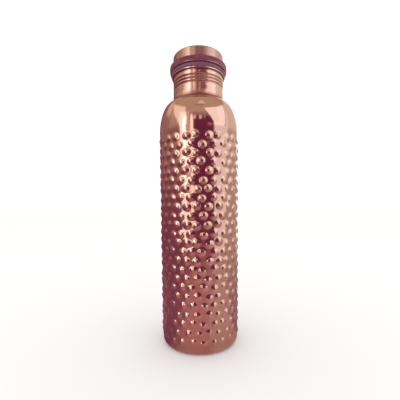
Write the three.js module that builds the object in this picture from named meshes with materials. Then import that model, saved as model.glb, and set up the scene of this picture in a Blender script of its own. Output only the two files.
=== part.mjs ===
// A one-litre copper water bottle with a screw-in cap, in millimetres, +Z up.
//
// The origin is the middle of the circle that the bottle stands on. The bottle is sheet copper:
// a spun shell, a pressed base plate and a neck with a rolled thread. The cap is a cup and a
// knurled ring on a flanged, threaded plug, with a soft gasket between the flange and the lip.
// All of it is turned round Z, so each piece is a lathed outline, and the two threads are made
// by pressing a right-hand helical groove into their walls.
import * as THREE from 'three';

// ---- Driving dimensions ----
const FACETS = 36;
const SHEET = 0.7;
const JOIN_GAP = 0.1;
const SLIDE_GAP = 0.2;

const FOOT_INNER = 30;
const FOOT_FILLET = 2.7;
const BODY_RADIUS_BOTTOM = 36.3;
const BODY_RADIUS_MIDDLE = 37.2;
const BODY_RADIUS_TOP = 36.8;
const BODY_MIDDLE_Z = 100;
const SHOULDER_Z = 196.7;
const SHOULDER_TOP_Z = 225;
const SHOULDER_POWER = 1.05;

const BASE_RECESS = 3.6;
const BASE_FLAT_RADIUS = 25;
const BASE_RIM_INNER = 28.6;
const BASE_RIM_OUTER = 33;

const NECK_RADIUS = 23.5;
const NECK_BOTTOM_Z = 222.2;
const LIP_TOP_Z = 250;
const LIP_ROLL = 0.85;
const LIP_RADIUS = 24.85;
const LIP_EASE = 0.35;

const PITCH = 2.8;
const GROOVE_DEPTH = 0.8;
const GROOVE_FRONT_Z = 237.95;
const THREAD_BOTTOM_Z = 236.2;
const THREAD_TOP_Z = 245.2;
const THREAD_RUN_OUT = 1;
const THREAD_CLEARANCE = 0.4;
const ROWS_PER_PITCH = 5;

const PLUG_BOTTOM_Z = 237;
const PLUG_BORE = 20.9;
const PLUG_GROOVE_TOP_Z = 247.2;
const FLANGE_Z = 253.5;
const FLANGE_THICK = 0.9;
const FLANGE_RADIUS = 26.5;

const FLOOR_Z = 239.2;
const FLOOR_RIM_RADIUS = 20;
const FLOOR_BEND = 0.8;
const FLOOR_RIM_Z = 237.3;

const GASKET_RADIUS = 25.3;
const GASKET_EASE = 0.8;

const KNURL_RADIUS = 26.6;
const KNURL_TOP_Z = 258.5;
const KNURL_EASE = 0.6;

const CUP_RADIUS = 23.35;
const CUP_TOP_Z = 268.3;
const CUP_FILLET = 2.1;
const CUP_CROWN = 0.3;

// ---- Materials ----
const hammeredCopper = { color: 0xbd8a6e, roughness: 0.22, metalness: 1 };
const plainCopper = { color: 0xc08f74, roughness: 0.2, metalness: 1 };
const knurledCopper = { color: 0x8f5a52, roughness: 0.35, metalness: 1 };
const insideCopper = { color: 0xa87860, roughness: 0.4, metalness: 1 };
const softGasket = { color: 0x6f5568, roughness: 0.55, metalness: 0 };

// ---- Outlines: lists of Vector2(radius, height) ----

/** A point of an outline. */
function at(radius, height) {
  return new THREE.Vector2(radius, height);
}

/** Points on an arc round a centre, from one angle to another, in degrees. */
function arc(radius, height, size, from, to, steps) {
  const points = [];
  for (let i = 0; i <= steps; i++) {
    const angle = THREE.MathUtils.degToRad(from + ((to - from) * i) / steps);
    points.push(at(radius + size * Math.cos(angle), height + size * Math.sin(angle)));
  }
  return points;
}

/** Heights from one level to another, in steps no longer than the one given. */
function levels(from, to, step) {
  const count = Math.ceil(Math.abs(to - from) / step);
  return Array.from({ length: count + 1 }, (_, i) => from + ((to - from) * i) / count);
}

/** The path moved sideways to its left by the sheet's thickness, with its corners mitred. */
function offsetPath(path, thickness) {
  return path.map((point, i) => {
    const before = point.clone().sub(path[Math.max(i - 1, 0)]);
    const after = path[Math.min(i + 1, path.length - 1)].clone().sub(point);
    const left = [before, after]
      .filter((side) => side.length() > 0)
      .map((side) => at(-side.y, side.x).normalize());
    const middle = left.reduce((sum, side) => sum.clone().add(side)).normalize();
    const moved = point.clone().addScaledVector(middle, thickness / middle.dot(left[0]));
    moved.x = point.x === 0 ? 0 : moved.x;
    return moved;
  });
}

/** The closed outline of a sheet that follows a path, with its thickness on the path's left. */
function sheetOutline(path, thickness = SHEET) {
  const outline = [...path, ...offsetPath(path, thickness).reverse()];
  return path[0].x === 0 ? outline : closed(outline);
}

/** The same outline, ended where it began. */
function closed(outline) {
  return [...outline, outline[0].clone()];
}

// ---- Turning and threading ----

/** Turns an outline round Z. */
function turned(outline) {
  const geometry = new THREE.LatheGeometry(outline, FACETS);
  geometry.deleteAttribute('uv');
  return geometry.rotateX(Math.PI / 2);
}

/** How deep the helical groove is, as a share of its full depth, at an angle and a height. */
function grooveShare(angle, height) {
  const turns = (height - GROOVE_FRONT_Z) / PITCH - (angle + Math.PI / 2) / (2 * Math.PI);
  return (0.5 + 0.5 * Math.cos(2 * Math.PI * turns)) ** 2;
}

/** A ramp from 0 below a height to 1 above it. */
function rampUp(height, start) {
  return THREE.MathUtils.smoothstep(height, start, start + THREAD_RUN_OUT);
}

/** Presses the thread into the walls, by as much as reach(radius, height) lets it. */
function pressThread(geometry, reach) {
  const position = geometry.getAttribute('position');
  for (let i = 0; i < position.count; i++) {
    const x = position.getX(i);
    const y = position.getY(i);
    const z = position.getZ(i);
    const radius = Math.hypot(x, y);
    const depth = GROOVE_DEPTH * grooveShare(Math.atan2(y, x), z) * reach(radius, z);
    const share = radius > 0 ? (radius - depth) / radius : 1;
    position.setXYZ(i, x * share, y * share, z);
  }
  geometry.computeVertexNormals();
  return geometry;
}

// ---- The bottle ----

/** The shell's outer radius at a height below the shoulder: barely barrelled. */
function bodyRadius(height) {
  const upper = height > BODY_MIDDLE_Z;
  const end = upper ? BODY_RADIUS_TOP : BODY_RADIUS_BOTTOM;
  const run = upper ? SHOULDER_Z - BODY_MIDDLE_Z : BODY_MIDDLE_Z;
  return BODY_RADIUS_MIDDLE - (BODY_RADIUS_MIDDLE - end) * ((height - BODY_MIDDLE_Z) / run) ** 2;
}

/** The body and shoulder, spun from one sheet, with the bottom edge turned in as a foot. */
function bottleShell() {
  const bottom = bodyRadius(FOOT_FILLET);
  const foot = arc(bottom - FOOT_FILLET, FOOT_FILLET, FOOT_FILLET, -90, 0, 4);
  const wall = levels(FOOT_FILLET, SHOULDER_Z, 28).slice(1, -1);
  const reach = BODY_RADIUS_TOP - NECK_RADIUS;
  const rise = SHOULDER_TOP_Z - SHOULDER_Z;
  const shoulder = levels(0, Math.PI / 2, Math.PI / 18).map((angle) => at(
    NECK_RADIUS + SLIDE_GAP + (reach - SLIDE_GAP) * Math.max(Math.cos(angle), 0) ** SHOULDER_POWER,
    SHOULDER_Z + rise * Math.sin(angle) ** SHOULDER_POWER,
  ));
  const path = [at(FOOT_INNER, 0), ...foot, ...wall.map((z) => at(bodyRadius(z), z)), ...shoulder];
  return turned(sheetOutline(path));
}

/** The pressed plate that closes the bottom, recessed, with its rim on the turned-in foot. */
function basePlate() {
  const rimZ = SHEET + JOIN_GAP;
  return turned(sheetOutline([
    at(0, BASE_RECESS),
    at(BASE_FLAT_RADIUS, BASE_RECESS),
    at(BASE_RIM_INNER, rimZ),
    at(BASE_RIM_OUTER, rimZ),
  ]));
}

/** The neck: a tube through the shoulder, with a rolled thread and its top rolled out as a lip. */
function neckSleeve() {
  const rollZ = LIP_TOP_Z - LIP_ROLL;
  const bore = NECK_RADIUS - SHEET;
  const threadRows = levels(THREAD_BOTTOM_Z, THREAD_TOP_Z, PITCH / ROWS_PER_PITCH);
  const outline = closed([
    at(NECK_RADIUS, NECK_BOTTOM_Z),
    ...threadRows.map((z) => at(NECK_RADIUS, z)),
    at(NECK_RADIUS, rollZ - LIP_ROLL),
    ...arc(LIP_RADIUS - LIP_ROLL, rollZ, LIP_ROLL, -90, 90, 6),
    at(bore + LIP_EASE, LIP_TOP_Z),
    at(bore, LIP_TOP_Z - LIP_EASE),
    ...threadRows.reverse().map((z) => at(bore, z)),
    at(bore, NECK_BOTTOM_Z),
  ]);
  const reach = (_, z) => rampUp(z, THREAD_BOTTOM_Z) * rampUp(-z, -THREAD_TOP_Z);
  return pressThread(turned(outline), reach);
}

// ---- The cap ----

/** The radius of the plug's plain wall, which runs inside the neck. */
const PLUG_RADIUS = NECK_RADIUS - SHEET - THREAD_CLEARANCE;
const FLANGE_TOP_Z = FLANGE_Z + FLANGE_THICK;

/** The soft ring round the top of the plug, squeezed between the flange and the lip. */
function capGasket() {
  const low = LIP_TOP_Z + JOIN_GAP;
  const high = FLANGE_Z - JOIN_GAP;
  const edge = GASKET_RADIUS - GASKET_EASE;
  return turned(closed([
    at(PLUG_RADIUS + SLIDE_GAP, low),
    ...arc(edge, low + GASKET_EASE, GASKET_EASE, -90, 0, 2),
    ...arc(edge, high - GASKET_EASE, GASKET_EASE, 0, 90, 2),
    at(PLUG_RADIUS + SLIDE_GAP, high),
  ]));
}

/** The threaded tube that screws into the neck, with the flange that the cup and ring sit on. */
function plugSleeve() {
  const threadRows = levels(PLUG_BOTTOM_Z, PLUG_GROOVE_TOP_Z, PITCH / ROWS_PER_PITCH);
  const outline = closed([
    ...threadRows.map((z) => at(PLUG_RADIUS, z)),
    at(PLUG_RADIUS, FLANGE_Z),
    at(FLANGE_RADIUS, FLANGE_Z),
    at(FLANGE_RADIUS, FLANGE_TOP_Z),
    at(PLUG_BORE, FLANGE_TOP_Z),
    at(PLUG_BORE, PLUG_BOTTOM_Z),
  ]);
  const wallMiddle = (PLUG_RADIUS + PLUG_BORE) / 2;
  const reach = (radius, z) => (radius > wallMiddle ? rampUp(-z, -PLUG_GROOVE_TOP_Z) : 0);
  return pressThread(turned(outline), reach);
}

/** The pressed disc that closes the plug's lower end, with its rim turned down. */
function plugFloor() {
  return turned(sheetOutline([
    at(0, FLOOR_Z),
    ...arc(FLOOR_RIM_RADIUS - FLOOR_BEND, FLOOR_Z - FLOOR_BEND, FLOOR_BEND, 90, 0, 2),
    at(FLOOR_RIM_RADIUS, FLOOR_RIM_Z),
  ]));
}

/** The grip ring round the foot of the cup, on the flange. */
function knurledRing() {
  const low = FLANGE_TOP_Z + JOIN_GAP;
  const bore = CUP_RADIUS + SLIDE_GAP;
  const edge = KNURL_RADIUS - KNURL_EASE;
  return turned(closed([
    at(bore, low),
    ...arc(edge, low + KNURL_EASE, KNURL_EASE, -90, 0, 2),
    ...arc(edge, KNURL_TOP_Z - KNURL_EASE, KNURL_EASE, 0, 90, 2),
    at(bore, KNURL_TOP_Z),
  ]));
}

/** The drawn cup on top. Its path is its inside, so that the sheet lies outside it. */
function capCup() {
  const inside = CUP_RADIUS - SHEET;
  const bend = CUP_FILLET - SHEET;
  const roof = CUP_TOP_Z - SHEET;
  return turned(sheetOutline([
    at(0, roof + CUP_CROWN),
    ...arc(inside - bend, roof - bend, bend, 90, 0, 4),
    at(inside, FLANGE_TOP_Z + JOIN_GAP),
  ]));
}

// ---- Assembly ----

/** A named piece in its own material. */
function piece(name, geometry, finish) {
  const mesh = new THREE.Mesh(geometry, new THREE.MeshStandardMaterial(finish));
  mesh.name = name;
  return mesh;
}

const bottle = new THREE.Group();
bottle.add(
  piece('bottle_shell', bottleShell(), hammeredCopper),
  piece('base_plate', basePlate(), plainCopper),
  piece('neck_sleeve', neckSleeve(), plainCopper),
);

const cap = new THREE.Group();
cap.add(
  piece('cap_gasket', capGasket(), softGasket),
  piece('plug_sleeve', plugSleeve(), insideCopper),
  piece('plug_floor', plugFloor(), insideCopper),
  piece('knurled_ring', knurledRing(), knurledCopper),
  piece('cap_cup', capCup(), plainCopper),
);

const waterBottle = new THREE.Group();
waterBottle.add(bottle, cap);

export default waterBottle;
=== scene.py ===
"""A hammered copper water bottle with a screw-in cap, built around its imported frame.

Every piece is turned round Z: a half section is drawn as a chain of edges, spun into a closed
shell, and then shaped where the real one is hammered, threaded or knurled. Sizes are in metres,
written as millimetres times MM, and the ends and rims of most pieces come from the boxes of the
frame's nodes.
"""

from __future__ import annotations

import logging
import math
import random
from dataclasses import dataclass, field
from enum import Enum
from typing import Any, Iterable

import bmesh
import bpy
from mathutils import Matrix, Vector


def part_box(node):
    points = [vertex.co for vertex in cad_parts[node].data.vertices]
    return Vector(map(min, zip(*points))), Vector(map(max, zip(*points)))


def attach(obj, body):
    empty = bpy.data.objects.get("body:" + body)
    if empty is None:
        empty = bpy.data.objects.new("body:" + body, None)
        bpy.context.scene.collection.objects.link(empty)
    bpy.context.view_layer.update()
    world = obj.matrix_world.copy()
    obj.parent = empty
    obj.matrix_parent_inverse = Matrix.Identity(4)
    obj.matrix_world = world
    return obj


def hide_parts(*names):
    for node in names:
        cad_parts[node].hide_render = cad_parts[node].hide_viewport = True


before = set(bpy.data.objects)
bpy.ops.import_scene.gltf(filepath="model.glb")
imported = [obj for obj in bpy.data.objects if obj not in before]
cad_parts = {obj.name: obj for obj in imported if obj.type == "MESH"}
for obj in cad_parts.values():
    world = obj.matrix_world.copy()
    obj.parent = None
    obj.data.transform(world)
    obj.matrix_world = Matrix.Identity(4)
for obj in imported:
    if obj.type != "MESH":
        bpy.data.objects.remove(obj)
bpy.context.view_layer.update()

MM = 0.001
TURN = 2 * math.pi
FRONT = -math.pi / 2
DEGREES = math.degrees(1)
MERGE_GAP = 0.001 * MM
SHARP_ANGLE = math.radians(50)

# the attribute that says how proud the metal is: 1 on high ground, 0 in a hollow, and -1 where sheets meet in
# a dark line and where shade is painted into creases and undercuts
RELIEF = "relief"

log = logging.getLogger("bottle")

Colour = tuple[float, float, float]


class Body(Enum):
    """The parts of the frame that move as one."""

    BOTTLE = "bottle"
    SEAL = "seal"
    CAP = "cap"


class Slot(Enum):
    """The record's material slots."""

    HAMMERED = "hammered_copper"
    PLAIN = "plain_copper"
    KNURLED = "knurled_copper"
    INSIDE = "inside_copper"
    GASKET = "soft_gasket"


# ---------------------------------------------------------------- shader maths


class Graph:
    """A node tree that is written as expressions."""

    def __init__(self, tree: bpy.types.NodeTree) -> None:
        """Empties a tree and writes into it."""
        self.tree = tree
        tree.nodes.clear()

    def node(self, kind: str, settings: dict[str, Any] | None = None, **inputs: Any) -> bpy.types.Node:
        """Adds a node.

        Args:
            kind: the node's type, without the leading "ShaderNode".
            settings: its own properties, set before its sockets.
            inputs: a value or a link for each socket, by name with _ for a space, or by in0, in1 and so on.

        Returns:
            The new node.
        """
        node = self.tree.nodes.new("ShaderNode" + kind)
        for name, setting in (settings or {}).items():
            setattr(node, name, setting)
        for name, given in inputs.items():
            is_number = name.startswith("in") and name[2:].isdigit()
            socket = node.inputs[int(name[2:]) if is_number else name.replace("_", " ")]
            self.feed(socket, given)
        return node

    def feed(self, socket: bpy.types.NodeSocket, given: Any) -> None:
        """Links a socket, or sets its value.

        Args:
            socket: the socket to feed.
            given: a Value, a socket, or a plain number, colour or vector.
        """
        source = given.socket if isinstance(given, Value) else given
        if isinstance(source, bpy.types.NodeSocket):
            self.tree.links.new(source, socket)
        else:
            socket.default_value = source

    def math(self, operation: str, *operands: Any) -> Value:
        """Adds a Math node and returns its result."""
        sockets = {f"in{i}": operand for i, operand in enumerate(operands)}
        return Value(self, self.node("Math", {"operation": operation}, **sockets).outputs[0])

    def ramp(self, value: Any, low: float, high: float, start: float = 0.0, end: float = 1.0) -> Value:
        """Eases from start to end as a value goes from low to high.

        Args:
            value: the number that varies.
            low: where the ease begins.
            high: where it ends.
            start: the result below low.
            end: the result above high.

        Returns:
            The eased number.
        """
        settings = {"interpolation_type": "SMOOTHSTEP"}
        node = self.node("MapRange", settings, in0=value, in1=low, in2=high, in3=start, in4=end)
        return Value(self, node.outputs[0])

    def mix(self, share: Any, first: Any, second: Any) -> bpy.types.NodeSocket:
        """Mixes two colours.

        Args:
            share: how much of the second colour shows.
            first: the colour at 0.
            second: the colour at 1.

        Returns:
            The mixed colour's socket.
        """
        settings = {"data_type": "RGBA", "clamp_factor": True}
        node = self.node("Mix", settings, in0=share, in6=opaque(first), in7=opaque(second))
        return node.outputs[2]

    def noise(self, place: Any, grain: Grain) -> Value:
        """A smooth random number around 0.5 that changes over the surface."""
        node = self.node("TexNoise", None, Vector=place, Scale=grain.scale, Detail=grain.detail)
        return Value(self, node.outputs[0])

    def patches(self, place: Any, grain: Grain) -> Value:
        """Soft patches of noise: 0 between them and 1 where they are strongest."""
        return self.ramp(self.noise(place, grain), grain.low, grain.high)


class Value:
    """A socket that carries a number, with arithmetic."""

    def __init__(self, graph: Graph, socket: bpy.types.NodeSocket) -> None:
        """Keeps the socket with its graph."""
        self.graph = graph
        self.socket = socket

    def __add__(self, other: Any) -> Value:
        """The sum."""
        return self.graph.math("ADD", self, other)

    __radd__ = __add__

    def __sub__(self, other: Any) -> Value:
        """The difference."""
        return self.graph.math("SUBTRACT", self, other)

    def __rsub__(self, other: Any) -> Value:
        """The difference, the other way round."""
        return self.graph.math("SUBTRACT", other, self)

    def __mul__(self, other: Any) -> Value:
        """The product."""
        return self.graph.math("MULTIPLY", self, other)

    __rmul__ = __mul__


def opaque(colour: Any) -> Any:
    """The same colour with an alpha of 1, or the same link."""
    return (*colour, 1.0) if isinstance(colour, tuple) and len(colour) == 3 else colour


def across_from_front(graph: Graph, x: Value, y: Value) -> Value:
    """The bearing of a place or a direction, in degrees to the right of the front."""
    return graph.math("ARCTAN2", x, 0 - y) * DEGREES


# ---------------------------------------------------------------- finishes


@dataclass(frozen=True)
class Grain:
    """The size of a pattern of noise, and what of it shows.

    Attributes:
        scale: how many waves there are in a metre.
        detail: how many finer layers are added.
        low: the noise below which a patch doesn't show.
        high: the noise above which it shows in full.
        share: how strong it is beside the others of its kind.
    """

    scale: float
    detail: float
    low: float = 0.0
    high: float = 1.0
    share: float = 1.0


CLOUDS = Grain(28, 3, 0.38, 0.68, share=0.4)
SPECKS = Grain(900, 2, 0.56, 0.74, share=0.15)
STREAKS = Grain(160, 4, 0.45, 0.75)
STREAK_STRETCH = (1.0, 1.0, 0.18)
UNEVENNESS = (Grain(110, 2), Grain(420, 2, share=0.15), Grain(42, 1, share=2.2))
DUST = Grain(240, 4, 0.42, 0.72)
MOULD_GRAIN = Grain(2400, 2)


@dataclass(frozen=True)
class Copper:
    """Bare copper, polished, with handling marks.

    Attributes:
        name: the material's name.
        bright: its colour where it is freshly polished.
        toned: its colour where it has toned down.
        tarnish_and_shade: its colour in hollows: oxide where polishing doesn't reach, and painted shade.
        joint: its colour where two sheets meet, and the colour of the shade painted into creases and
            undercuts.
        polish: the roughness where it is cleanest.
        smudge: how much rougher handling marks are.
        ripple: the height of the sheet's own unevenness.
        spun: how strongly fine spinning rings stretch its reflections, or 0.
        ring_turn: how far that stretch is turned, in turns, so that it runs up and down.
        hollows: how much of that colour the hollows take.
        even_tarnish_and_shade: how much of that colour is even, where the rest is cloudy.
        tarnish_rough: how much rougher the hollows are where that colour lies.
        joint_rough: how much rougher the metal is where the sheets meet and where shade is painted.
    """

    name: str
    bright: Colour = (0.93, 0.60, 0.48)
    toned: Colour = (0.84, 0.48, 0.37)
    tarnish_and_shade: Colour = (0.34, 0.13, 0.13)
    joint: Colour = (0.46, 0.145, 0.18)
    polish: float = 0.07
    smudge: float = 0.08
    ripple: float = 0.05 * MM
    spun: float = 0.0
    ring_turn: float = 0.25
    hollows: float = 0.0
    even_tarnish_and_shade: float = 0.75
    tarnish_rough: float = 0.12
    joint_rough: float = 0.3

    def material(self) -> bpy.types.Material:
        """Builds the finish.

        Returns:
            The material.
        """
        made = bpy.data.materials.new(self.name)
        made.use_nodes = True
        graph = Graph(made.node_tree)
        place = graph.node("TexCoord").outputs["Object"]
        cloud = graph.patches(place, CLOUDS)
        streak_place = graph.node("Mapping", None, Vector=place, Scale=STREAK_STRETCH).outputs[0]
        streak = graph.patches(streak_place, STREAKS)
        tone = cloud * CLOUDS.share + graph.patches(place, SPECKS) * SPECKS.share
        rough = self.polish + self.smudge * (cloud * 0.5 + streak * 0.5)
        colour = graph.mix(tone, self.bright, self.toned)
        if self.hollows:
            height = Value(graph, graph.node("Attribute", {"attribute_name": RELIEF}).outputs["Fac"])
            low = graph.ramp(height, 0.0, 1.0, 1.0, 0.0) * self.hollows
            # below 0 the relief marks dark lines where sheets meet, and shade painted into creases and
            # undercuts
            joint = graph.ramp(height, -1.0, 0.0, 1.0, 0.0)
            # the hollows take the darker colour: oxide where polishing doesn't reach, and painted shade
            tarnish_and_shade_mask = low * (self.even_tarnish_and_shade + (1 - self.even_tarnish_and_shade) * cloud)
            colour = graph.mix(tarnish_and_shade_mask, colour, self.tarnish_and_shade)
            colour = graph.mix(joint, colour, self.joint)
            rough = rough + low * self.tarnish_rough + joint * self.joint_rough
        waves = (graph.noise(place, grain) * (self.ripple * grain.share) for grain in UNEVENNESS)
        bump = graph.node("Bump", None, Strength=1.0, Distance=1.0, Height=sum(waves))
        shader = graph.node(
            "BsdfPrincipled", None,
            Base_Color=colour, Metallic=1.0, Roughness=rough,
            Anisotropic=self.spun, Anisotropic_Rotation=self.ring_turn, Normal=bump.outputs[0],
        )
        graph.node("OutputMaterial", None, Surface=shader.outputs[0])
        return made


@dataclass(frozen=True)
class Silicone:
    """Soft moulded silicone with a bloom of dust.

    Attributes:
        name: the material's name.
        clean: its own colour.
        dusty: its colour where dust sits.
        bloom: how much of the dust's colour shows.
        gloss: the roughness where it is cleanest.
        dust_rough: how much rougher dust is.
        grain_height: the height of the mould's fine grain.
        grain_strength: how much of that grain shows.
    """

    name: str
    clean: Colour = (0.165, 0.056, 0.108)
    dusty: Colour = (0.215, 0.095, 0.15)
    bloom: float = 0.6
    gloss: float = 0.42
    dust_rough: float = 0.2
    grain_height: float = 0.04 * MM
    grain_strength: float = 0.6

    def material(self) -> bpy.types.Material:
        """Builds the finish.

        Returns:
            The material.
        """
        made = bpy.data.materials.new(self.name)
        made.use_nodes = True
        graph = Graph(made.node_tree)
        place = graph.node("TexCoord").outputs["Object"]
        dust = graph.patches(place, DUST)
        grain = graph.noise(place, MOULD_GRAIN) * self.grain_height
        bump = graph.node("Bump", None, Strength=self.grain_strength, Distance=1.0, Height=grain)
        shader = graph.node(
            "BsdfPrincipled", None,
            Base_Color=graph.mix(dust * self.bloom, self.clean, self.dusty),
            Roughness=self.gloss + dust * self.dust_rough, Normal=bump.outputs[0],
        )
        graph.node("OutputMaterial", None, Surface=shader.outputs[0])
        return made


# the hollows between the marks are a little darker
HAMMERED_COPPER = Copper("hammered_copper", polish=0.07, smudge=0.07, hollows=0.12)
# the neck's thread grooves and the undercut below its lip take painted shade, and its braze a dark line with
# painted shade in the crease
NECK_COPPER = Copper("neck_copper", polish=0.14, smudge=0.07, spun=0.5, hollows=0.5)
SPUN_COPPER = Copper(
    "spun_copper", bright=(0.77, 0.475, 0.385), toned=(0.67, 0.37, 0.30), polish=0.3, smudge=0.06, spun=0.8,
)
# the knurl's valleys take the darker hollow colour: oxide, and painted shade
KNURLED_COPPER = Copper(
    "knurled_copper", bright=(0.66, 0.30, 0.37), toned=(0.46, 0.16, 0.25), tarnish_and_shade=(0.16, 0.03, 0.085),
    joint=(0.2, 0.05, 0.12), polish=0.26, smudge=0.12, hollows=0.95,
)
INSIDE_COPPER = Copper(
    "inside_copper", bright=(0.82, 0.43, 0.43), toned=(0.64, 0.29, 0.32), polish=0.22, smudge=0.14,
)
GASKET_SILICONE = Silicone("gasket_silicone")


# ---------------------------------------------------------------- turning


class Outline:
    """A half section drawn as a chain of edges, ready to be spun round Z."""

    def __init__(self, radius: float, height: float) -> None:
        """Starts the chain at a distance from the axis and a height."""
        self.bm = bmesh.new()
        self.first = self.last = self.bm.verts.new((radius, 0.0, height))

    def to(self, radius: float, height: float, rows: int = 1) -> Outline:
        """Draws a straight stretch.

        Args:
            radius: the next corner's distance from the axis.
            height: its height.
            rows: how many equal edges the stretch is cut into.

        Returns:
            The outline itself.
        """
        start = self.last.co.copy()
        end = Vector((radius, 0.0, height))
        for row in range(1, rows + 1):
            corner = self.bm.verts.new(start.lerp(end, row / rows))
            self.bm.edges.new((self.last, corner))
            self.last = corner
        return self

    def curve(self, points: Iterable[tuple[float, float]]) -> Outline:
        """Draws through points, one edge each.

        Args:
            points: each point's distance from the axis and its height.

        Returns:
            The outline itself.
        """
        for radius, height in points:
            self.to(radius, height)
        return self

    def arc(
        self, radius: float, height: float, size: float, start: float, end: float, steps: int = 8,
    ) -> Outline:
        """Draws an arc, with a stretch up to its first point if the chain isn't there yet.

        Args:
            radius: the arc centre's distance from the axis.
            height: the centre's height.
            size: the arc's own radius.
            start: its first angle in degrees, from straight outwards, turning upwards.
            end: its last angle.
            steps: how many edges it has.

        Returns:
            The outline itself.
        """
        turn = end - start
        angles = [math.radians(start + turn * step / steps) for step in range(steps + 1)]
        points = ((radius + size * math.cos(angle), height + size * math.sin(angle)) for angle in angles)
        return self.curve(points)

    def close(self) -> Outline:
        """Joins the last corner to the first."""
        self.bm.edges.new((self.last, self.first))
        return self

    def spin(self, segments: int, sectors: int = 1) -> bmesh.types.BMesh:
        """Spins the section into a closed shell, with its faces outwards.

        Args:
            segments: how many steps there are in a turn.
            sectors: how many equal sectors the turn is made in, which is quicker for a fine mesh.

        Returns:
            The mesh being edited.
        """
        bm = self.bm
        bmesh.ops.spin(
            bm, geom=bm.verts[:] + bm.edges[:], cent=(0, 0, 0), axis=(0, 0, 1),
            angle=TURN / sectors, steps=segments // sectors, use_merge=sectors == 1, use_duplicate=False,
        )
        sector = bm.verts[:] + bm.edges[:] + bm.faces[:]
        for number in range(1, sectors):
            made = bmesh.ops.duplicate(bm, geom=sector)["geom"]
            verts = [item for item in made if isinstance(item, bmesh.types.BMVert)]
            turn = Matrix.Rotation(TURN * number / sectors, 3, "Z")
            bmesh.ops.rotate(bm, cent=(0, 0, 0), matrix=turn, verts=verts)
        bmesh.ops.remove_doubles(bm, verts=bm.verts[:], dist=MERGE_GAP)
        bmesh.ops.recalc_face_normals(bm, faces=bm.faces[:])
        return bm


def polar(point: Vector) -> tuple[float, float]:
    """A point's distance from the axis and its angle round it."""
    return math.hypot(point.x, point.y), math.atan2(point.y, point.x)


def set_radius(vert: bmesh.types.BMVert, radius: float) -> None:
    """Moves a vertex straight towards or away from the axis.

    Args:
        vert: the vertex to move.
        radius: its new distance from the axis.
    """
    share = radius / math.hypot(vert.co.x, vert.co.y)
    vert.co.x *= share
    vert.co.y *= share


def smooth_step(value: float, low: float, high: float) -> float:
    """Eases from 0 to 1 as a value goes from low to high."""
    share = min(max((value - low) / (high - low), 0.0), 1.0)
    return share * share * (3 - 2 * share)


def smooth_fall(value: float, low: float, high: float) -> float:
    """Eases from 1 to 0 as a value goes from low to high."""
    return smooth_step(-value, -high, -low)


def outer_radius(node: str) -> float:
    """The radius of a turned node of the frame."""
    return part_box(node)[1].x


def bottom(node: str) -> float:
    """The lowest level of a node of the frame."""
    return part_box(node)[0].z


def top(node: str) -> float:
    """The highest level of a node of the frame."""
    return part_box(node)[1].z


def settle(
    bm: bmesh.types.BMesh, node: str, body: Body, finish: Copper | Silicone,
) -> bpy.types.Object:
    """Turns a finished mesh into the piece that stands for a node of the frame.

    Args:
        bm: the mesh, which is freed.
        node: the node it replaces.
        body: the body it rides on.
        finish: the finish it wears.

    Returns:
        The new piece.
    """
    mesh = bpy.data.meshes.new(node + "_made")
    for face in bm.faces:
        face.smooth = True
    bm.to_mesh(mesh)
    bm.free()
    mesh.set_sharp_from_angle(angle=SHARP_ANGLE)
    mesh.materials.append(finish.material())
    piece = bpy.data.objects.new(node + "_made", mesh)
    bpy.context.scene.collection.objects.link(piece)
    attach(piece, body.value)
    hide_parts(node)
    return piece


# ---------------------------------------------------------------- the bottle


@dataclass(frozen=True)
class Mark:
    """One raised mark of the hammered pattern.

    Attributes:
        angle: where its middle is, round the axis.
        height: its middle's height above the foot.
        radius: how far it reaches along the wall.
        rise: how far its middle stands out.
    """

    angle: float
    height: float
    radius: float
    rise: float


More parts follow.
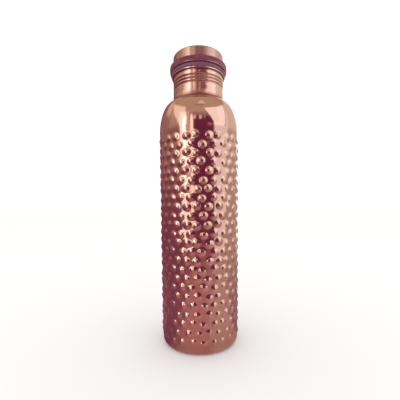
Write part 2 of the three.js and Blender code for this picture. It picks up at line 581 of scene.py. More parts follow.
@dataclass
class HammeredShell:
    """The body and shoulder: one spun sheet with raised round marks and a turned-in foot.

    Attributes:
        sheet: the sheet's thickness.
        foot_inner: the radius of the hole in the foot.
        foot_fillet: the bend between the foot and the wall.
        taper: how far the wall draws in towards the foot.
        sink: how far the hammering sinks the wall between the marks.
        straight_radius: the wall's radius at the shoulder.
        shoulder_level: where the shoulder starts.
        shoulder_edges: how many edges its outside has.
        inner_shoulder_edges: how many edges its inside has.
        neck_radius: the neck's radius.
        hole_gap: how far the shoulder's hole clears the neck.
        joint_reach: how far the dark line where the sheets meet, with painted shade in the crease, reaches
            past the hole.
        joint_tone: how far it takes to fade.
        segments: how many steps the turn has.
        sectors: how many equal sectors it is spun in.
        rows: how many rows of marks there are.
        marks_in_row: how many marks there are in a row.
        lowest_row: the height of the lowest row.
        highest_row: the height of the highest row.
        row_ease: how much closer the rows lie towards the shoulder.
        mark_radius: a mark's usual radius.
        mark_rise: a mark's usual rise.
        mark_sharpness: how pointed a mark's dome is.
        proud_gain: how quickly a mark's flank comes clear of the darker colour between the marks.
        wander: how far a mark strays up or down.
        sideways: how much further it strays round the wall.
        radius_spread: the least and the most of its usual radius that a mark has.
        rise_spread: the least and the most of its usual rise.
        first_angle: where the first mark of an even row is, from the front.
        fine_margin: how far the fine edges reach past the marks, in marks' radii.
        edges_between_rows: how many edges the outside has from row to row.
        coarsening: how many edges of the outside one edge of the inside stands for.
        seed: the seed of the marks' errors.
        pattern: the marks, row by row from the bottom.
    """

    sheet: float = 0.7 * MM
    foot_inner: float = 30 * MM
    foot_fillet: float = 5.3 * MM
    taper: float = 0.5 * MM
    sink: float = 0.5 * MM
    straight_radius: float = 36.8 * MM
    shoulder_level: float = 196.7 * MM
    shoulder_edges: int = 26
    inner_shoulder_edges: int = 9
    neck_radius: float = 23.5 * MM
    hole_gap: float = 1.2 * MM
    joint_reach: float = 1.1 * MM
    joint_tone: float = 2.6 * MM
    segments: int = 300
    sectors: int = 10
    rows: int = 24
    marks_in_row: int = 24
    lowest_row: float = 11.3 * MM
    highest_row: float = 188.6 * MM
    row_ease: float = 0.045
    mark_radius: float = 3.75 * MM
    mark_rise: float = 1.04 * MM
    mark_sharpness: float = 1.5
    proud_gain: float = 3.0
    wander: float = 1.0 * MM
    sideways: float = 1.25
    radius_spread: tuple[float, float] = (0.93, 1.06)
    rise_spread: tuple[float, float] = (0.85, 1.12)
    first_angle: float = math.radians(4.6)
    fine_margin: float = 1.3
    edges_between_rows: int = 11
    coarsening: int = 60
    seed: int = 7
    pattern: list[list[Mark]] = field(default_factory=list)

    def __post_init__(self) -> None:
        """Lays out the marks, row by row from the bottom, each a little out of line."""
        dice = random.Random(self.seed)
        for row in range(self.rows):
            columns = range(self.marks_in_row)
            self.pattern.append([self._mark(row, column + self.stagger(row), dice) for column in columns])

    @property
    def row_gap(self) -> float:
        """The usual height from one row to the next."""
        return (self.highest_row - self.lowest_row) / (self.rows - 1)

    @property
    def mark_gap(self) -> float:
        """The angle from one mark to the next."""
        return TURN / self.marks_in_row

    def stagger(self, row: int) -> float:
        """How far a row is set round, in marks, so that it stands between its neighbours' marks."""
        return 0.5 * (row % 2)

    def _mark(self, row: int, column: float, dice: random.Random) -> Mark:
        """Makes one mark, with its own small errors.

        Args:
            row: its row, from the bottom.
            column: its place in the row, in marks.
            dice: where its errors come from.

        Returns:
            The mark.
        """
        angle = FRONT + self.first_angle + column * self.mark_gap
        return Mark(
            angle=angle + dice.uniform(-1, 1) * self.wander * self.sideways / self.straight_radius,
            height=self.row_height(row) + dice.uniform(-1, 1) * self.wander,
            radius=self.mark_radius * dice.uniform(*self.radius_spread),
            rise=self.mark_rise * dice.uniform(*self.rise_spread),
        )

    def row_height(self, row: int) -> float:
        """The level of a row of marks: the rows lie a little closer towards the shoulder.

        Args:
            row: the row, from the bottom.

        Returns:
            Its height above the foot.
        """
        share = row / (self.rows - 1)
        share += self.row_ease * share * (1 - share)
        return self.lowest_row + (self.highest_row - self.lowest_row) * share

    def wall_radius(self, height: float) -> float:
        """The wall's radius between the marks, sunk by the hammering and drawn in towards the foot.

        Args:
            height: the height above the foot.

        Returns:
            The radius of the outside.
        """
        share = 1 - min(height / self.shoulder_level, 1.0)
        last_sunk = self.shoulder_level - 2 * self.mark_radius
        sunk = self.sink * smooth_fall(height, last_sunk, self.shoulder_level)
        return self.straight_radius - sunk - self.taper * share * share

    def relief(self, angle: float, height: float) -> float:
        """How far the hammered pattern stands out at a place.

        Args:
            angle: the angle round the axis.
            height: the height above the foot.

        Returns:
            The rise above the wall.
        """
        nearest = round((height - self.lowest_row) / self.row_gap)
        rise = 0.0
        for row in range(max(nearest - 1, 0), min(nearest + 2, self.rows)):
            place = (angle - FRONT - self.first_angle) / self.mark_gap - self.stagger(row)
            for column in (math.floor(place), math.floor(place) + 1):
                mark = self.pattern[row][column % self.marks_in_row]
                around = (angle - mark.angle + math.pi) % TURN - math.pi
                away = math.hypot(around * self.straight_radius, height - mark.height) / mark.radius
                if away < 1:
                    rise += mark.rise * (1 - away * away) ** self.mark_sharpness
        return rise

    def shoulder(self, hole: float, crown: float, steps: int) -> list[tuple[float, float]]:
        """The shoulder's curve, a quarter of an ellipse from the wall to the hole for the neck.

        Args:
            hole: the radius where it ends.
            crown: the height where it ends.
            steps: how many edges it has.

        Returns:
            Points from the wall upwards.
        """
        points = []
        for step in range(1, steps + 1):
            angle = math.pi / 2 * step / steps
            points.append((
                hole + (self.straight_radius - hole) * math.cos(angle),
                self.shoulder_level + (crown - self.shoulder_level) * math.sin(angle),
            ))
        return points

    def build(self) -> bpy.types.Object:
        """Spins the shell, raises its marks and dresses it.

        Returns:
            The piece.
        """
        crown = top("bottle_shell")
        hole = self.neck_radius + self.hole_gap
        low = self.lowest_row - self.mark_radius * self.fine_margin
        high = self.highest_row + self.mark_radius * self.fine_margin
        fine = round((high - low) / self.row_gap * self.edges_between_rows)
        heights = [low + (high - low) * edge / fine for edge in range(fine + 1)]
        foot = self.wall_radius(self.foot_fillet) - self.foot_fillet
        wall = self.straight_radius
        outline = Outline(self.foot_inner, 0).arc(foot, self.foot_fillet, self.foot_fillet, -90, 0)
        outline.curve((self.wall_radius(height), height) for height in heights)
        outline.to(wall, self.shoulder_level, rows=2)
        outline.curve(self.shoulder(hole, crown, self.shoulder_edges))
        inside = [
            (radius - self.sheet * (radius - hole) / (wall - hole), height - self.sheet)
            for radius, height in self.shoulder(hole, crown, self.inner_shoulder_edges)
        ]
        outline.curve(reversed(inside)).to(wall - self.sheet, self.shoulder_level - self.sheet)
        coarse = heights[::-self.coarsening]
        outline.curve((self.wall_radius(height) - self.sheet, height) for height in coarse)
        outline.arc(foot, self.foot_fillet, self.foot_fillet - self.sheet, 0, -90, steps=6)
        outline.to(self.foot_inner, self.sheet).close()
        bm = outline.spin(self.segments, self.sectors)
        self._raise_marks(bm)
        return settle(bm, "bottle_shell", Body.BOTTLE, HAMMERED_COPPER)

    def _raise_marks(self, bm: bmesh.types.BMesh) -> None:
        """Raises the marks on the outside of the wall, and stores the relief for the finish, with a dark line
        and painted crease shade round the hole for the neck.

        Args:
            bm: the spun shell.
        """
        stored = bm.verts.layers.float.new(RELIEF)
        joint = self.neck_radius + self.hole_gap + self.joint_reach
        for vert in bm.verts:
            radius, angle = polar(vert.co)
            height = vert.co.z
            # a dark line where the shell meets the neck, with painted shade in the crease
            vert[stored] = smooth_step(radius, joint, joint + self.joint_tone) * 2 - 1
            is_patterned = self.foot_fillet < height < self.shoulder_level
            if is_patterned and radius > self.wall_radius(height) - self.sheet / 2:
                rise = self.relief(angle, height)
                vert[stored] = min(rise / self.mark_rise * self.proud_gain, 1.0)
                set_radius(vert, radius + rise)


@dataclass
class BasePlate:
    """The pressed plate that closes the bottom.

    Attributes:
        sheet: the plate's thickness.
        recess: how high its middle stands above the floor.
        flat_radius: where its flat middle ends.
        rim_inner: where its flat rim starts.
        rim_gap: how far its rim stays clear of the shell's foot bend.
        bend_reach: how far the bends of its step reach across.
        bend_drop: how far they drop.
        ring_radius: the pressed ring's radius.
        ring_width: how wide the ring is on each side.
        ring_depth: how deep it is pressed.
        ring_flank: how deep it is halfway out, as a share.
        segments: how many steps the turn has.
    """

    sheet: float = 0.7 * MM
    recess: float = 3.6 * MM
    flat_radius: float = 24.6 * MM
    rim_inner: float = 28.8 * MM
    rim_gap: float = 1.2 * MM
    bend_reach: float = 0.8 * MM
    bend_drop: float = 0.25 * MM
    ring_radius: float = 15 * MM
    ring_width: float = 1.4 * MM
    ring_depth: float = 0.5 * MM
    ring_flank: float = 0.7
    segments: int = 120

    def build(self) -> bpy.types.Object:
        """Spins the plate, with one pressed ring to stiffen it.

        Returns:
            The piece.
        """
        rim = outer_radius("base_plate") - self.rim_gap
        low = bottom("base_plate")
        ring = ((-1, 0), (-0.5, self.ring_flank), (0, 1), (0.5, self.ring_flank), (1, 0))
        under = [
            (self.ring_radius + self.ring_width * across, self.recess - self.ring_depth * deep)
            for across, deep in ring
        ]
        under += [
            (self.flat_radius, self.recess),
            (self.flat_radius + self.bend_reach, self.recess - self.bend_drop),
            (self.rim_inner - self.bend_reach, low + self.bend_drop),
            (self.rim_inner, low),
            (rim, low),
        ]
        outline = Outline(0, self.recess).curve(under)
        outline.curve((radius, height + self.sheet) for radius, height in reversed(under))
        outline.to(0, self.recess + self.sheet)
        return settle(outline.spin(self.segments), "base_plate", Body.BOTTLE, SPUN_COPPER)


@dataclass(frozen=True)
class Thread:
    """The right-hand rolled thread that the neck and the plug share.

    Attributes:
        pitch: how far it climbs in a turn.
        depth: how deep its groove is.
        front_level: the height of one of its grooves at the front.
        run_out: how far the groove takes to fade at its ends.
        sharpness: how narrow the groove is beside its crest.
        edges_in_pitch: how many edges the wall has in a pitch.
    """

    pitch: float = 2.8 * MM
    depth: float = 0.8 * MM
    front_level: float = 238.4 * MM
    run_out: float = 1.0 * MM
    sharpness: float = 1.8
    edges_in_pitch: int = 12

    def press(self, angle: float, height: float) -> float:
        """How deep the groove is at an angle round the axis and a height above the foot."""
        turns = (height - self.front_level) / self.pitch - (angle - FRONT) / TURN
        return self.depth * (0.5 + 0.5 * math.cos(TURN * turns)) ** self.sharpness

    def rows(self, length: float) -> int:
        """How many rows of edges a threaded length needs."""
        return math.ceil(length / self.pitch * self.edges_in_pitch)


@dataclass
class NeckSleeve:
    """The neck: a tube brazed into the shoulder, threaded, with its top rolled out as a lip.

    Attributes:
        thread: the thread pressed into it.
        radius: the tube's radius.
        sheet: its thickness.
        thread_low: where the thread starts.
        thread_high: where it ends.
        flare: how far the tube widens at its foot.
        flare_top: where the widening starts.
        flare_power: how late most of the widening comes.
        lip_corner: the rounding of the lip's top edge.
        lip_roll: the rounding under the lip.
        undercut: how far below the top the lip's underside starts, in lip rolls.
        bore_ease: the rounding of the bore's top edge.
        braze_level: the foot of the braze bead.
        braze_width: the bead's size.
        braze_start: how far above the bead's level the outline turns into it.
        braze_dark_and_shade: how dark the metal is at the braze: the braze's own dark line, with painted
            shade in the crease.
        braze_fade: where that darkness starts to fade and where it ends, in braze widths above the bead.
        lip_shade: how dark the painted shade is in the undercut below the lip.
        lip_shade_top: where that painted shade comes in, in lip rolls below the top.
        lip_shade_foot: where it goes out again.
        segments: how many steps the turn has.
        sectors: how many equal sectors it is spun in.
    """

    thread: Thread
    radius: float = 23.5 * MM
    sheet: float = 0.7 * MM
    thread_low: float = 236.2 * MM
    thread_high: float = 245.4 * MM
    flare: float = 1.05 * MM
    flare_top: float = 233.5 * MM
    flare_power: float = 2.3
    lip_corner: float = 0.28 * MM
    lip_roll: float = 0.75 * MM
    undercut: float = 2.2
    bore_ease: float = 0.35 * MM
    braze_level: float = 225.0 * MM
    braze_width: float = 0.7 * MM
    braze_start: float = 0.05 * MM
    braze_dark_and_shade: float = 2.0
    braze_fade: tuple[float, float] = (1.8, 4.2)
    lip_shade: float = 1.5
    lip_shade_top: tuple[float, float] = (1.3, 1.8)
    lip_shade_foot: tuple[float, float] = (2.3, 2.8)
    segments: int = 200
    sectors: int = 5

    def build(self) -> bpy.types.Object:
        """Spins the neck, presses its thread and dresses it.

        Returns:
            The piece.
        """
        low, high = bottom("neck_sleeve"), top("neck_sleeve")
        rim = outer_radius("neck_sleeve")
        bore = self.radius - self.sheet
        rows = self.thread.rows(self.thread_high - self.thread_low)
        outline = Outline(self.radius, low).to(self.radius, self.braze_level + self.braze_start)
        outline.arc(self.radius, self.braze_level + self.braze_width, self.braze_width, -60, 90, steps=5)
        outline.to(self.radius, self.thread_low, rows=3).to(self.radius, self.thread_high, rows)
        outline.to(self.radius, high - self.undercut * self.lip_roll, rows=2)
        outline.arc(rim - self.lip_roll, high - self.lip_roll, self.lip_roll, -135, 0)
        outline.arc(rim - self.lip_corner, high - self.lip_corner, self.lip_corner, 0, 90, steps=4)
        outline.arc(bore + self.bore_ease, high - self.bore_ease, self.bore_ease, 90, 180, steps=4)
        outline.to(bore, self.thread_high, rows=2).to(bore, self.thread_low, rows).to(bore, low).close()
        bm = outline.spin(self.segments, self.sectors)
        stored = bm.verts.layers.float.new(RELIEF)
        for vert in bm.verts:
            reach, angle = polar(vert.co)
            cut = smooth_step(vert.co.z, self.thread_low, self.thread_low + self.thread.run_out)
            cut *= smooth_fall(vert.co.z, self.thread_high - self.thread.run_out, self.thread_high)
            groove = cut * self.thread.press(angle, vert.co.z)
            # the thread's grooves are stored low, so that the finish lays painted shade in them
            vert[stored] = 1 - groove / self.thread.depth - self._darkness(vert.co.z, high)
            if reach > bore + self.sheet / 2:
                share = min(max((self.flare_top - vert.co.z) / (self.flare_top - self.braze_level), 0.0), 1.0)
                reach += self.flare * share ** self.flare_power
            set_radius(vert, reach - groove)
        return settle(bm, "neck_sleeve", Body.BOTTLE, NECK_COPPER)

    def _darkness(self, height: float, lip: float) -> float:
        """How much the braze and the undercut darken the metal: the braze's own dark line with painted shade
        in the crease, and painted shade in the undercut below the lip.

        Args:
            height: the height above the foot.
            lip: the height of the lip's top.

        Returns:
            What they take off the stored relief.
        """
        above_braze = (height - self.braze_level) / self.braze_width
        below_lip = (lip - height) / self.lip_roll
        # painted shade in the undercut below the lip
        undercut_shade = smooth_step(below_lip, *self.lip_shade_top) * smooth_fall(below_lip, *self.lip_shade_foot)
        return self.braze_dark_and_shade * smooth_fall(above_braze, *self.braze_fade) + self.lip_shade * undercut_shade


# ---------------------------------------------------------------- the cap


@dataclass
class CapGasket:
    """The soft ring between the cap's flange and the lip.

    Attributes:
        bore: the radius of its hole.
        ease: the rounding of its outer edges.
        squeeze: how far its middle bulges past them.
        squeeze_angle: how far above and below level, in degrees, the rounding turns into the bulge.
        segments: how many steps the turn has.
    """

    bore: float = 22.6 * MM
    ease: float = 0.4 * MM
    squeeze: float = 0.4 * MM
    squeeze_angle: float = 8.0
    segments: int = 160

    def build(self) -> bpy.types.Object:
        """Spins the ring, bulged a little where it is squeezed.

        Returns:
            The piece.
        """
        low, high = bottom("cap_gasket"), top("cap_gasket")
        edge = outer_radius("cap_gasket") - self.ease
        middle = (low + high) / 2
        outline = Outline(self.bore, low)
        outline.arc(edge, low + self.ease, self.ease, -90, -self.squeeze_angle, steps=6)
        outline.to(edge + self.ease + self.squeeze, middle)
        outline.arc(edge, high - self.ease, self.ease, self.squeeze_angle, 90, steps=6)
        outline.to(self.bore, high).close()
        return settle(outline.spin(self.segments), "cap_gasket", Body.SEAL, GASKET_SILICONE)


@dataclass
class PlugSleeve:
    """The threaded tube under the cap, with the flange that the cup and the ring sit on.

    Attributes:
        thread: the thread cut into it.
        radius: the tube's radius.
        bore: its hole's radius.
        lead: the bevel that starts the thread.
        flange: the flange's thickness.
        groove_top: where the thread ends.
        segments: how many steps the turn has.
        sectors: how many equal sectors it is spun in.
    """

    thread: Thread
    radius: float = 22.4 * MM
    bore: float = 20.9 * MM
    lead: float = 0.3 * MM
    flange: float = 0.9 * MM
    groove_top: float = 247.2 * MM
    segments: int = 200
    sectors: int = 5

    def build(self) -> bpy.types.Object:
        """Spins the plug, presses its thread and dresses it.

        Returns:
            The piece.
        """
        low, high = bottom("plug_sleeve"), top("plug_sleeve")
        round_edge = self.flange / 2
        rim = outer_radius("plug_sleeve") - round_edge
        outline = Outline(self.radius - self.lead, low).to(self.radius, low + self.lead)
        outline.to(self.radius, self.groove_top, self.thread.rows(self.groove_top - low))
        outline.to(self.radius, high - self.flange, rows=2)
        outline.arc(rim, high - round_edge, round_edge, -90, 90)
        outline.to(self.bore, high).to(self.bore, low, rows=2).close()
        bm = outline.spin(self.segments, self.sectors)
        middle = (self.radius + self.bore) / 2
        for vert in bm.verts:
            reach, angle = polar(vert.co)
            share = smooth_fall(vert.co.z, self.groove_top - self.thread.run_out, self.groove_top)
            if share and reach > middle:
                set_radius(vert, reach - share * self.thread.press(angle, vert.co.z))
        return settle(bm, "plug_sleeve", Body.CAP, INSIDE_COPPER)


@dataclass
class PlugFloor:
    """The pressed disc that closes the plug.

    Attributes:
        sheet: the disc's thickness.
        bend: the bend inside its turned-down rim.
        segments: how many steps the turn has.
    """

    sheet: float = 0.7 * MM
    bend: float = 1.0 * MM
    segments: int = 120

    def build(self) -> bpy.types.Object:
        """Spins the disc, with its rim turned down.

        Returns:
            The piece.
        """
        low, high = bottom("plug_floor"), top("plug_floor")
        rim = outer_radius("plug_floor")
        under = high - self.sheet
        corner = rim - self.sheet - self.bend
        outline = Outline(0, under).arc(corner, under - self.bend, self.bend, 90, 0, steps=6)
        outline.to(rim - self.sheet, low).to(rim, low)
        outline.arc(corner, under - self.bend, self.bend + self.sheet, 0, 90).to(0, high)
        return settle(outline.spin(self.segments), "plug_floor", Body.CAP, INSIDE_COPPER)


@dataclass
class KnurledRing:
    """The grip ring, with diamond knurling rolled into its rim.

    Attributes:
        bore: the radius of its hole.
        ease: the rounding of its edges.
        diamonds: how many diamonds there are in a turn.
        diamond_rows: how many diamonds high the rim is.
        depth: how deep the knurling is.
        fade: where it comes in and where it is full, from each edge, as shares of the height.
        edges_in_diamond: how many edges the turn has in a diamond.
        rows: how many rows of edges the rim has.
        sectors: how many equal sectors it is spun in.
    """

    bore: float = 23.55 * MM
    ease: float = 0.55 * MM
    diamonds: int = 110
    diamond_rows: float = 2.6
    depth: float = 0.5 * MM
    fade: tuple[float, float] = (0.03, 0.2)
    edges_in_diamond: int = 6
    rows: int = 18
    sectors: int = 22

    def build(self) -> bpy.types.Object:
        """Spins the ring, rolls in the knurling and dresses it.

        Returns:
            The piece.
        """
        low, high = bottom("knurled_ring"), top("knurled_ring")
        rim = outer_radius("knurled_ring")
        edge = rim - self.ease
        outline = Outline(self.bore, low).arc(edge, low + self.ease, self.ease, -90, 0, steps=4)
        outline.to(rim, high - self.ease, self.rows)
        outline.arc(edge, high - self.ease, self.ease, 0, 90, steps=4).to(self.bore, high).close()
        bm = outline.spin(self.diamonds * self.edges_in_diamond, self.sectors)
        stored = bm.verts.layers.float.new(RELIEF)
        start, full = self.fade
        for vert in bm.verts:
            reach, angle = polar(vert.co)
            if reach < edge:
                continue
            up = (vert.co.z - low) / (high - low)
            place = angle / TURN * self.diamonds
            slope = up * self.diamond_rows
            proud = min(abs(math.sin(math.pi * (place + slope))), abs(math.sin(math.pi * (place - slope))))
            # the valleys are stored low, so that the finish darkens them with oxide and painted shade
            vert[stored] = proud
            share = smooth_step(up, start, full) * smooth_fall(up, 1 - full, 1 - start)
            set_radius(vert, reach - self.depth * share * (1 - proud))
        return settle(bm, "knurled_ring", Body.CAP, KNURLED_COPPER)


@dataclass
class CapCup:
    """The drawn cup that tops the cap.

    Attributes:
        sheet: the cup's thickness.
        fillet: the bend round its top.
        crown: how far its top rises to the middle.
        crown_reach: how far out most of that rise comes, as a share of the radius.
        crown_share: how much of it has come by there.
        segments: how many steps the turn has.
    """

    sheet: float = 0.7 * MM
    fillet: float = 1.4 * MM
    crown: float = 0.3 * MM
    crown_reach: float = 0.45
    crown_share: float = 0.8
    segments: int = 180

    def build(self) -> bpy.types.Object:
        """Spins the cup and dresses it.

        Returns:
            The piece.
        """
        low, high = bottom("cap_cup"), top("cap_cup") - self.crown
        rim = outer_radius("cap_cup")
        roof = high - self.sheet
        bend = self.fillet - self.sheet
        corner = rim - self.fillet
        outline = Outline(0, roof + self.crown).arc(corner, roof - bend, bend, 90, 0)
        outline.to(rim - self.sheet, low).to(rim, low)
        outline.arc(corner, high - self.fillet, self.fillet, 0, 90, steps=12)
        outline.to(rim * self.crown_reach, high + self.crown * self.crown_share, rows=4)
        outline.to(0, high + self.crown, rows=2)
        return settle(outline.spin(self.segments), "cap_cup", Body.CAP, SPUN_COPPER)


# ---------------------------------------------------------------- the studio


@dataclass(frozen=True)
class Panel:
    """A soft-edged patch of the room, in degrees: to the right of the front and up from level.

    Attributes:
        left: where its left edge starts, at its foot.
        right: where its right edge starts.
        low: its foot.
        high: its top.
        colour: its colour and brightness.
        soft: how wide its edges fade.
        left_lean: how far its left edge moves across for each degree up.
        right_lean: how far its right edge does.
    """

    left: float
    right: float
    low: float
    high: float
    colour: Colour
    soft: float = 4.0
    left_lean: float = 0.0
    right_lean: float = 0.0


FAR_LEFT, FAR_RIGHT = -240.0, 240.0
UNDER, OVER = -120.0, 120.0

ROOM = (
    # the walls on the left, from the floor up
    Panel(FAR_LEFT, -20, UNDER, 4, (0.185, 0.06, 0.12), soft=20),
    Panel(-104, -30, 16, 50, (0.46, 0.325, 0.28), soft=16),
    Panel(-116, -62, 32, 54, (0.56, 0.44, 0.34), soft=14),
    Panel(FAR_LEFT, -104, 16, 50, (0.31, 0.18, 0.20), soft=20),
    Panel(-122, -96, 30, 50, (0.66, 0.56, 0.47), soft=8, left_lean=-1.0),
    # the wall behind, with a window and a door of its own
    Panel(148, FAR_RIGHT, UNDER, 50, (0.40, 0.27, 0.26), soft=14),
    Panel(FAR_LEFT, -148, UNDER, 50, (0.40, 0.27, 0.26), soft=14),
    Panel(144, 170, -8, 44, (1.2, 1.15, 1.1), soft=5),
    Panel(-172, -146, UNDER, 32, (0.15, 0.035, 0.08), soft=6),
    # the walls on the right
    Panel(84, 142, UNDER, 60, (0.43, 0.36, 0.34), soft=16),
    Panel(84, 142, 12, 60, (0.68, 0.65, 0.62), soft=12),
    Panel(40, 100, UNDER, -6, (0.44, 0.33, 0.33), soft=12),
    # the ceiling, its lamp and its corners
    Panel(FAR_LEFT, FAR_RIGHT, 47, OVER, (0.46, 0.355, 0.28), soft=5),
    Panel(-34, 50, 36, 70, (0.455, 0.35, 0.275), soft=5),
    Panel(-4, 30, 59, 70, (0.70, 0.62, 0.52), soft=5, left_lean=0.9, right_lean=-0.6),
    Panel(-16, 20, 53.5, 56.5, (0.30, 0.19, 0.17), soft=2.5),
    Panel(-99, -95.5, 8, 48, (0.26, 0.14, 0.13), soft=2),
    Panel(-100, -96, 46, 72, (0.20, 0.10, 0.08), soft=2.5, left_lean=-0.9, right_lean=-0.9),
    Panel(108, 112, 47, 72, (0.22, 0.12, 0.11), soft=2.5, left_lean=0.6, right_lean=0.6),
    # the left window, with a dark post and a narrow pane beside it
    Panel(-52, -28, 16, 48.5, (0.92, 0.86, 0.78), soft=6, left_lean=-1.7, right_lean=-0.6),
    Panel(-49, -34, -8, 38, (1.25, 1.2, 1.15), soft=4, left_lean=-0.3, right_lean=-0.1),
    Panel(-46, -37, 4, 30, (2.0, 2.1, 2.2), soft=6),
    Panel(-34, -24, -8, 40, (0.62, 0.49, 0.42), soft=4, right_lean=-0.1),
    Panel(-24, -15, -8, 34, (1.3, 1.2, 1.1), soft=4, right_lean=-0.05),
    # the dark doorway
    Panel(-19, 43, 28, 38, (0.34, 0.20, 0.20), soft=5, right_lean=-0.7),
    Panel(-14, 44, UNDER, 32, (0.137, 0.025, 0.077), soft=6),
    Panel(-30, 44, UNDER, -8, (0.32, 0.14, 0.165), soft=12),
    Panel(-16, -8, 26, 32, (0.80, 0.58, 0.52), soft=2.5),
    Panel(1, 9, 26, 32, (0.72, 0.57, 0.54), soft=3),
    Panel(16, 19, 27, 33, (0.5, 0.35, 0.33), soft=3),
    Panel(25, 37, 13, 19, (0.40, 0.18, 0.19), soft=4),
    # the right window
    Panel(44, 82, -10, 46, (0.87, 0.86, 0.90), soft=5, right_lean=0.4),
    Panel(44, 78, 15, 46.5, (1.1, 1.13, 1.18), soft=4, right_lean=0.7),
    Panel(78, 81.5, 15, 46, (0.46, 0.36, 0.34), soft=2, left_lean=0.7, right_lean=0.7),
    Panel(44, 62, 22, 46.5, (1.0, 1.0, 1.0), soft=3, left_lean=-1.0),
)

# what the copper mirrors of the surface that it stands on
BENCH = (
    Panel(-120, 120, UNDER, OVER, (0.43, 0.225, 0.24), soft=10),
    Panel(-120, -46, UNDER, OVER, (0.205, 0.075, 0.14), soft=56),
    Panel(20, 88, UNDER, OVER, (0.475, 0.325, 0.315), soft=16),
    Panel(88, 120, UNDER, OVER, (0.29, 0.178, 0.22), soft=16),
)


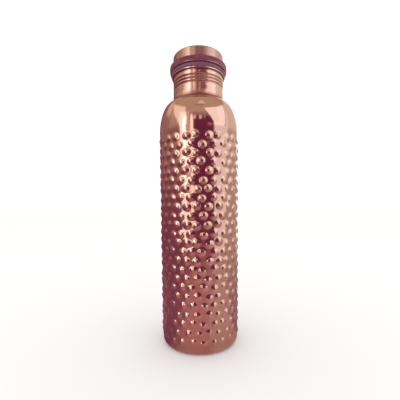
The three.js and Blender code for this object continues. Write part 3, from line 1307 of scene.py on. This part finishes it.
@dataclass
class Studio:
    """The pale floor, the soft room that the copper mirrors, and the camera.

    Attributes:
        floor_size: half the floor's width.
        floor_colour: its colour.
        floor_rough: its roughness.
        pale: the soft light's colour and strength.
        walls: the colour behind the panels.
        bench_shade: how far from the axis the bottle's own shade on the bench is deepest.
        bench_near: how far out it ends, and the bench starts to fade.
        bench_far: how far out the bench has faded.
        shade_strength: the bench's strength in that shade.
        sensor: the width of the camera's sensor, in millimetres.
        focal: its focal length, in millimetres.
        near_clip: the nearest that it sees.
        eye_distance: how far in front of the axis it stands.
        eye_height: how high it stands.
        tilt_down: how far it looks down, in degrees.
        roll: how far it is rolled, in degrees.
        shift_across: how far its frame is shifted across, in frame widths.
        shift_up: how far it is shifted up.
    """

    floor_size: float = 6.0
    floor_colour: Colour = (0.9, 0.895, 0.89)
    floor_rough: float = 0.9
    pale: Colour = (1.15, 1.15, 1.15)
    walls: Colour = (0.30, 0.17, 0.18)
    bench_shade: float = 34 * MM
    bench_near: float = 75 * MM
    bench_far: float = 480 * MM
    shade_strength: float = 0.8
    sensor: float = 36.0
    focal: float = 24.34
    near_clip: float = 10 * MM
    eye_distance: float = 262.4 * MM
    eye_height: float = 127.2 * MM
    tilt_down: float = 2.55
    roll: float = -0.46
    shift_across: float = 0.0013
    shift_up: float = 0.0517

    def build(self) -> None:
        """Sets the floor, the room and the camera."""
        self._floor()
        self._room()
        self._camera()

    def _floor(self) -> None:
        """A plain pale floor, which the copper mirrors as a darker bench that fades out with distance."""
        bm = bmesh.new()
        bmesh.ops.create_grid(bm, x_segments=1, y_segments=1, size=self.floor_size)
        mesh = bpy.data.meshes.new("floor")
        bm.to_mesh(mesh)
        bm.free()
        made = bpy.data.materials.new("pale_floor")
        made.use_nodes = True
        graph = Graph(made.node_tree)
        split = graph.node("SeparateXYZ", None, Vector=graph.node("TexCoord").outputs["Object"])
        x, y, _ = (Value(graph, socket) for socket in split.outputs)
        away = graph.math("SQRT", x * x + y * y)
        reach = graph.ramp(away, self.bench_near, self.bench_far)
        shade = graph.ramp(away, self.bench_shade, self.bench_near, self.shade_strength, 1.0)
        painted = self._paint(graph, BENCH, across_from_front(graph, x, y), 0.0)
        bench = graph.node("Emission", None, Color=painted, Strength=shade)
        clear = graph.node("BsdfTransparent")
        mirrored = graph.node("MixShader", None, in0=reach, in1=bench.outputs[0], in2=clear.outputs[0])
        colour = opaque(self.floor_colour)
        plain = graph.node("BsdfPrincipled", None, Base_Color=colour, Roughness=self.floor_rough)
        is_mirrored = graph.node("LightPath").outputs["Is Glossy Ray"]
        shader = graph.node("MixShader", None, in0=is_mirrored, in1=plain.outputs[0], in2=mirrored.outputs[0])
        graph.node("OutputMaterial", None, Surface=shader.outputs[0])
        mesh.materials.append(made)
        floor = bpy.data.objects.new("floor", mesh)
        bpy.context.scene.collection.objects.link(floor)

    def _room(self) -> None:
        """Plain soft light all round, with the darker room showing only in reflections."""
        world = bpy.data.worlds.new("studio")
        world.use_nodes = True
        bpy.context.scene.world = world
        graph = Graph(world.node_tree)
        split = graph.node("SeparateXYZ", None, Vector=graph.node("TexCoord").outputs["Generated"])
        x, y, z = (Value(graph, socket) for socket in split.outputs)
        up = graph.math("ARCSINE", z) * DEGREES
        mirrored = self._paint(graph, ROOM, across_from_front(graph, x, y), up)
        is_mirrored = graph.node("LightPath").outputs["Is Glossy Ray"]
        seen = graph.mix(is_mirrored, self.pale, mirrored)
        background = graph.node("Background", None, Color=seen, Strength=1.0)
        graph.node("OutputWorld", None, Surface=background.outputs[0])

    def _paint(self, graph: Graph, panels: Iterable[Panel], across: Value, up: Value | float) -> Any:
        """Lays panels over the plain walls, each over the ones before it.

        Args:
            graph: the tree to write into.
            panels: the panels, from the furthest to the nearest.
            across: the bearing, in degrees to the right of the front.
            up: the angle up, in degrees, which is 0 all over the bench.

        Returns:
            The colour seen.
        """
        seen: Any = self.walls
        for panel in panels:
            half = panel.soft / 2
            rise = up - panel.low
            from_left = across - rise * panel.left_lean if panel.left_lean else across
            from_right = across - rise * panel.right_lean if panel.right_lean else across
            mask = graph.ramp(up, panel.low - half, panel.low + half)
            mask = mask * graph.ramp(up, panel.high - half, panel.high + half, 1.0, 0.0)
            mask = mask * graph.ramp(from_left, panel.left - half, panel.left + half)
            mask = mask * graph.ramp(from_right, panel.right - half, panel.right + half, 1.0, 0.0)
            seen = graph.mix(mask, seen, panel.colour)
        return seen

    def _camera(self) -> None:
        """The camera, close to the bottle and about level with its middle."""
        lens = bpy.data.cameras.new("camera")
        lens.sensor_width = self.sensor
        lens.lens = self.focal
        lens.shift_x = self.shift_across
        lens.shift_y = self.shift_up
        lens.clip_start = self.near_clip
        camera = bpy.data.objects.new("camera", lens)
        bpy.context.scene.collection.objects.link(camera)
        tilt = Matrix.Rotation(math.radians(90 - self.tilt_down), 4, "X")
        turn = tilt @ Matrix.Rotation(math.radians(self.roll), 4, "Z")
        camera.matrix_world = Matrix.Translation((0, -self.eye_distance, self.eye_height)) @ turn
        bpy.context.scene.camera = camera
        bpy.context.scene.view_settings.view_transform = "Standard"


def main() -> None:
    """Builds the studio, the bottle and its cap, and reports each piece."""
    logging.basicConfig(level=logging.INFO, format="%(name)s: %(message)s")
    Studio().build()
    thread = Thread()
    for part in (
        HammeredShell(), BasePlate(), NeckSleeve(thread), CapGasket(),
        PlugSleeve(thread), PlugFloor(), KnurledRing(), CapCup(),
    ):
        piece = part.build()
        log.info("%s: %d faces", piece.name, len(piece.data.polygons))


if __name__ == "__main__":
    main()
